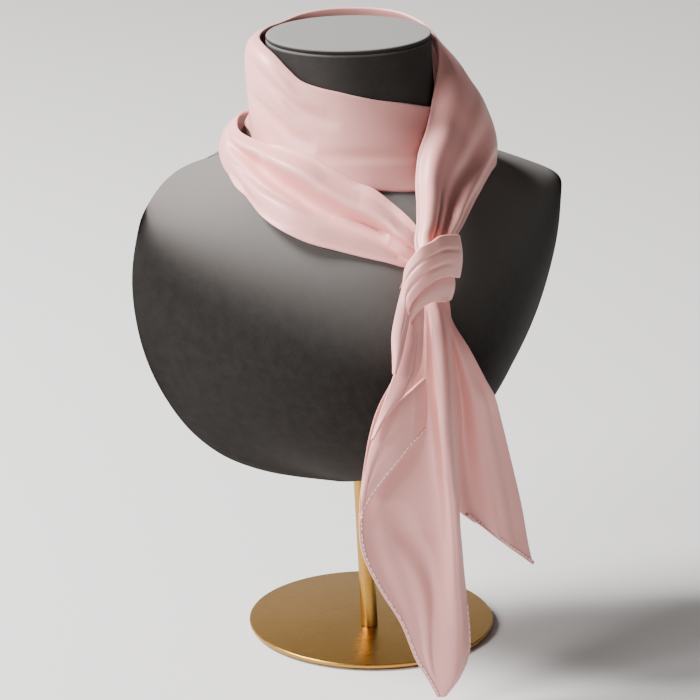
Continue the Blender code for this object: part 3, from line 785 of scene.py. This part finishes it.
# %% Turned edges and the thin shell
def turn_edge(front, normal, radius, reach):
    """Columns for the layer behind and the round edge, to go before a grid's first column."""
    edge = front[:, 0]
    out = edge - front[:, 1]
    out /= np.linalg.norm(out, axis=1, keepdims=True)
    width = np.linalg.norm(np.diff(front, axis=1), axis=2).mean(axis=0).cumsum()
    behind = max(1, int(np.searchsorted(width, reach)))
    columns = [front[:, k] - normal[:, k] * 2 * radius for k in range(behind, 0, -1)]
    for a in np.linspace(pi, 0, 9)[:-1]:
        columns.append(edge - normal[:, 0] * radius * (1 - np.cos(a)) + out * radius * np.sin(a))
    return np.stack(columns, axis=1)


def folded(grid, top=True, low=True, radius=PLY, reach=7.0):
    """A grid with its folded edges turned under; the front layer stands out by the ply."""
    normal = grid_normals(grid)
    front = grid + normal * PLY
    parts = [front]
    if top:
        parts.insert(0, turn_edge(front, normal, radius, reach))
    if low:
        parts.append(turn_edge(front[:, ::-1], normal[:, ::-1], radius, reach)[:, ::-1])
    return np.concatenate(parts, axis=1)


def cut_of(grid):
    """The flat size that a grid was cut from: its widest and longest lines and its area, in metres."""
    length = np.linalg.norm(np.diff(grid, axis=0), axis=2).sum(axis=0).max() * MM
    width = np.linalg.norm(np.diff(grid, axis=1), axis=2).sum(axis=1).max() * MM
    side = np.diff(grid, axis=0)[:, :-1]
    over = np.diff(grid, axis=1)[:-1]
    area = np.linalg.norm(np.cross(side, over), axis=2).sum() * MM * MM
    return round(float(width), 3), round(float(length), 3), round(float(area), 5)


def silk_shell(name, grid, nodes, held, rests_on, material=satin):
    """A thin satin shell on a grid, which stands for its CAD walls."""
    piece = finish_piece(name, grid_bmesh(grid), material)
    thick = piece.modifiers.new("Layer", "SOLIDIFY")
    thick.thickness = SILK * MM
    thick.offset = 0
    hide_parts(*nodes)
    width, length, area = cut_of(grid)
    print(name, "cut", width, "x", length, "m,", area, "m2,", len(piece.data.polygons), "faces")
    return piece, (width, length), area


# %% The stretches round the neck, in the order they are laid
bust_tree = BVHTree.FromPolygons([v.co / MM for v in bust.data.vertices],
                                 [tuple(p.vertices) for p in bust.data.polygons])
cap_tree = BVHTree.FromPolygons([v.co / MM for v in cap.data.vertices],
                                [tuple(p.vertices) for p in cap.data.polygons])
HALF = PLY + SILK / 2

UPPER_STEPS = 336
upper = band_grid(UPPER_STRIP, FOLDS["upper"], UPPER_STEPS, 44)
leave = int(UPPER_STEPS * DROP_START / (len(UPPER_STRIP) - 1))
upper = settle(upper, [bust_tree, cap_tree], 30, HALF)
left = band_grid(LEFT_WRAP, FOLDS["left"], 240, 56)
left = settle(left, [bust_tree, grid_tree(upper[:leave + 1], HALF)], 30, HALF, ease=8)
drop = settle(upper[leave:], [grid_tree(left, HALF)], 30, HALF)
blend = np.clip(np.arange(len(drop)) / 12, 0, 1)[:, None, None]
upper = np.concatenate([upper[:leave], upper[leave:] * (1 - blend) + drop * blend])

piece, flat, area = silk_shell("silk_upper_strip", folded(upper, radius=0.9),
                         ["scarf_front_band", "scarf_back_band", "scarf_right_drop"], "draped", ["bust_cover"])
piece, flat, area = silk_shell("silk_left_wrap", folded(left), ["scarf_left_wrap"], "draped", ["bust_cover"])

# %% The tails and the knot
right_tail = strip_grid(RIGHT_START + TAIL_RIGHT, FOLDS["tail_right"], 140, 60)
right_tail = settle(right_tail, [bust_tree, grid_tree(left, HALF)], 30, HALF)
front_tail = settle(tail_front_grid(200, 90), [bust_tree, grid_tree(right_tail, HALF)], 30, HALF)
flap = settle(strip_grid(TAIL_FLAP, FOLDS["flap"], 90, 40), [grid_tree(front_tail, HALF)], 30, HALF)
tuck = np.clip(1 - np.arange(len(flap)) / 14, 0, 1)[:, None, None]
flap = flap + tuck * np.array([4.5, 3.5, 0.0])      # its inner side passes under the roll
strip = strip_grid(TAIL_STRIP + STRIP_POINT, FOLDS["strip"], 80, 30)
under = settle(strip_grid(KNOT_UNDER, (), 90, 30), [grid_tree(front_tail, HALF), grid_tree(strip, HALF)],
               5, HALF)
wrap = settle(strip_grid(KNOT_WRAP + WRAP_POINT, FOLDS["wrap"], 140, 48),
              [grid_tree(g, HALF) for g in (strip, under, drop, left)], 5, HALF)

for name, grid, node, rests in (
        ("silk_tail_right", folded(right_tail), "scarf_tail_right", "bust_cover"),
        ("silk_tail_front", folded(front_tail, top=False, low=False), "scarf_tail_front", "bust_cover"),
        ("silk_tail_flap", folded(flap, low=False, radius=1.2, reach=4.0), "scarf_tail_flap",
         "silk_tail_front"),
        ("silk_tail_strip", folded(strip), "scarf_tail_strip", "silk_tail_front"),
        ("silk_knot_under", folded(under), "scarf_knot_under", "silk_tail_strip"),
        ("silk_knot_wrap", folded(wrap, radius=0.8), "scarf_knot_wrap", "silk_knot_under")):
    piece, flat, area = silk_shell(name, grid, [node], "draped", [rests])

# %% [markdown]
# ## Hems and stitches
# The square's raw edges are turned twice and machine-stitched with a silk thread, which makes a firm, flat
# rim about 2.4 mm wide. It shows wherever a true edge of the square hangs free: on the flap, round the
# left tail's tip and along the end of the right tail. Each hem is a flattened tube swept along that edge,
# and its stitches are small capsules on both faces.

# %% Hems and their stitches
HEM_WIDTH = 2.4
HEM_THICK = 1.1
STITCH_EVERY = 3.2
STITCH_LONG = 2.3
STITCH_THICK = 0.7


def hem(name, line, inner):
    """A flattened tube and its stitches along an edge; inner is the next line into the cloth."""
    along = np.gradient(line, axis=0)
    along /= np.linalg.norm(along, axis=1, keepdims=True)
    out = line - inner
    out -= along * (out * along).sum(axis=1, keepdims=True)
    out /= np.linalg.norm(out, axis=1, keepdims=True)
    face = np.cross(along, out)
    middle = line - out * (HEM_WIDTH / 2 - 0.3)
    turn = np.linspace(0, 2 * pi, 15)
    turn[-1] = 0
    tube = (middle[:, None] + out[:, None] * HEM_WIDTH / 2 * np.cos(turn)[None, :, None]
            + face[:, None] * HEM_THICK / 2 * np.sin(turn)[None, :, None])
    rim = finish_piece(name, grid_bmesh(tube, closed=True), hem_satin)

    length = np.r_[0, np.cumsum(np.linalg.norm(np.diff(middle, axis=0), axis=1))]
    bm = bmesh.new()
    for place in np.arange(STITCH_EVERY, length[-1] - STITCH_LONG, STITCH_EVERY):
        k = min(int(np.searchsorted(length, place)), len(middle) - 1)
        for side in (-1, 1):
            turned = Matrix([(along[k][c], out[k][c], face[k][c] * side) for c in range(3)]).to_4x4()
            at = middle[k] - out[k] * 0.55 + face[k] * side * HEM_THICK * 0.47
            shape = Matrix.Diagonal((STITCH_LONG / 2 * MM, STITCH_THICK / 2 * MM, STITCH_THICK / 2 * MM, 1))
            bmesh.ops.create_uvsphere(bm, u_segments=8, v_segments=5, radius=1,
                                      matrix=Matrix.Translation(Vector(at) * MM) @ turned @ shape)
    bmesh.ops.recalc_face_normals(bm, faces=bm.faces)
    stitches = finish_piece(name + "_stitches", bm, thread)
    return [rim, stitches]


shown = {name: grid + grid_normals(grid) * PLY for name, grid in
         (("flap", flap), ("front", front_tail), ("right", right_tail))}
low_part = front_tail.shape[0] * 55 // 100
tip_part = front_tail.shape[0] * 78 // 100
hems = {
    "silk_tail_flap": hem("hem_flap", shown["flap"][:, -1], shown["flap"][:, -2]),
    "silk_tail_front": hem("hem_front_left", shown["front"][low_part:, 0], shown["front"][low_part:, 1])
    + hem("hem_front_right", shown["front"][tip_part:, -1], shown["front"][tip_part:, -2]),
    "silk_tail_right": hem("hem_right", shown["right"][-1], shown["right"][-2]),
}
for name, pieces in hems.items():
    print(name, "hem", [len(piece.data.polygons) for piece in pieces])

# %% [markdown]
# ## Floor, light and camera
# A pale seamless backdrop and two large soft lights give the calm look of a shop catalogue. The key
# light comes from the left and above, so the bust's right side falls off into shade.

# %% The backdrop
floor_material, tree, shader = start_material("backdrop_paper", "#D8D5D3", 0.9)
coord = add(tree, "ShaderNodeTexCoord")
clouds = add(tree, "ShaderNodeTexNoise", [(coord.outputs["Object"], "Vector")], in_Scale=1.5)
tone = add(tree, "ShaderNodeMix", [(clouds.outputs["Fac"], "Factor")], data_type="RGBA")
tone.inputs["A"].default_value = linear("#D6D3D1")
tone.inputs["B"].default_value = linear("#DAD7D5")
tree.links.new(tone.outputs["Result"], shader.inputs["Base Color"])

back = 2500.0
bend = 900.0
sweep = [(-4200.0, -0.3), (back, -0.3)]
sweep += [(back + bend * np.sin(a), bend * (1 - np.cos(a)) - 0.3) for a in np.linspace(0.1, pi / 2, 14)]
sweep += [(back + bend, 5200.0)]
paper = np.array([[(x, y, up) for x in np.linspace(-4500, 4500, 9)] for y, up in sweep])
bm = grid_bmesh(paper)
mesh = bpy.data.meshes.new("backdrop")
bm.to_mesh(mesh)
bm.free()
mesh.shade_smooth()
mesh.materials.append(floor_material)
backdrop = bpy.data.objects.new("backdrop", mesh)
bpy.context.scene.collection.objects.link(backdrop)


# %% Lights and camera
def area_light(name, place, aim, size, power, colour=(1, 1, 1)):
    light = bpy.data.lights.new(name, "AREA")
    light.shape = "SQUARE"
    light.size = size
    light.energy = power
    light.color = colour
    lamp = bpy.data.objects.new(name, light)
    lamp.location = place
    lamp.rotation_euler = (Vector(aim) - Vector(place)).to_track_quat("-Z", "Y").to_euler()
    bpy.context.scene.collection.objects.link(lamp)


area_light("key_softbox", (-1.55, 0.70, 2.25), (0, 0, 0.2), 1.0, 250)
area_light("side_softbox", (-2.3, -0.80, 1.3), (0, 0, 0.3), 0.8, 62)

world = bpy.data.worlds.new("studio")
world.use_nodes = True
world.node_tree.nodes["Background"].inputs["Color"].default_value = linear("#E9E6E4")
world.node_tree.nodes["Background"].inputs["Strength"].default_value = 0.11
bpy.context.scene.world = world

camera_data = bpy.data.cameras.new("camera")
camera_data.sensor_width = 36.0
camera_data.lens = 186.9
camera = bpy.data.objects.new("camera", camera_data)
camera.location = (-0.76923, -2.07292, 0.93342)
camera.rotation_euler = (radians(90 - 18.61), 0, radians(-20))
bpy.context.scene.collection.objects.link(camera)
bpy.context.scene.camera = camera
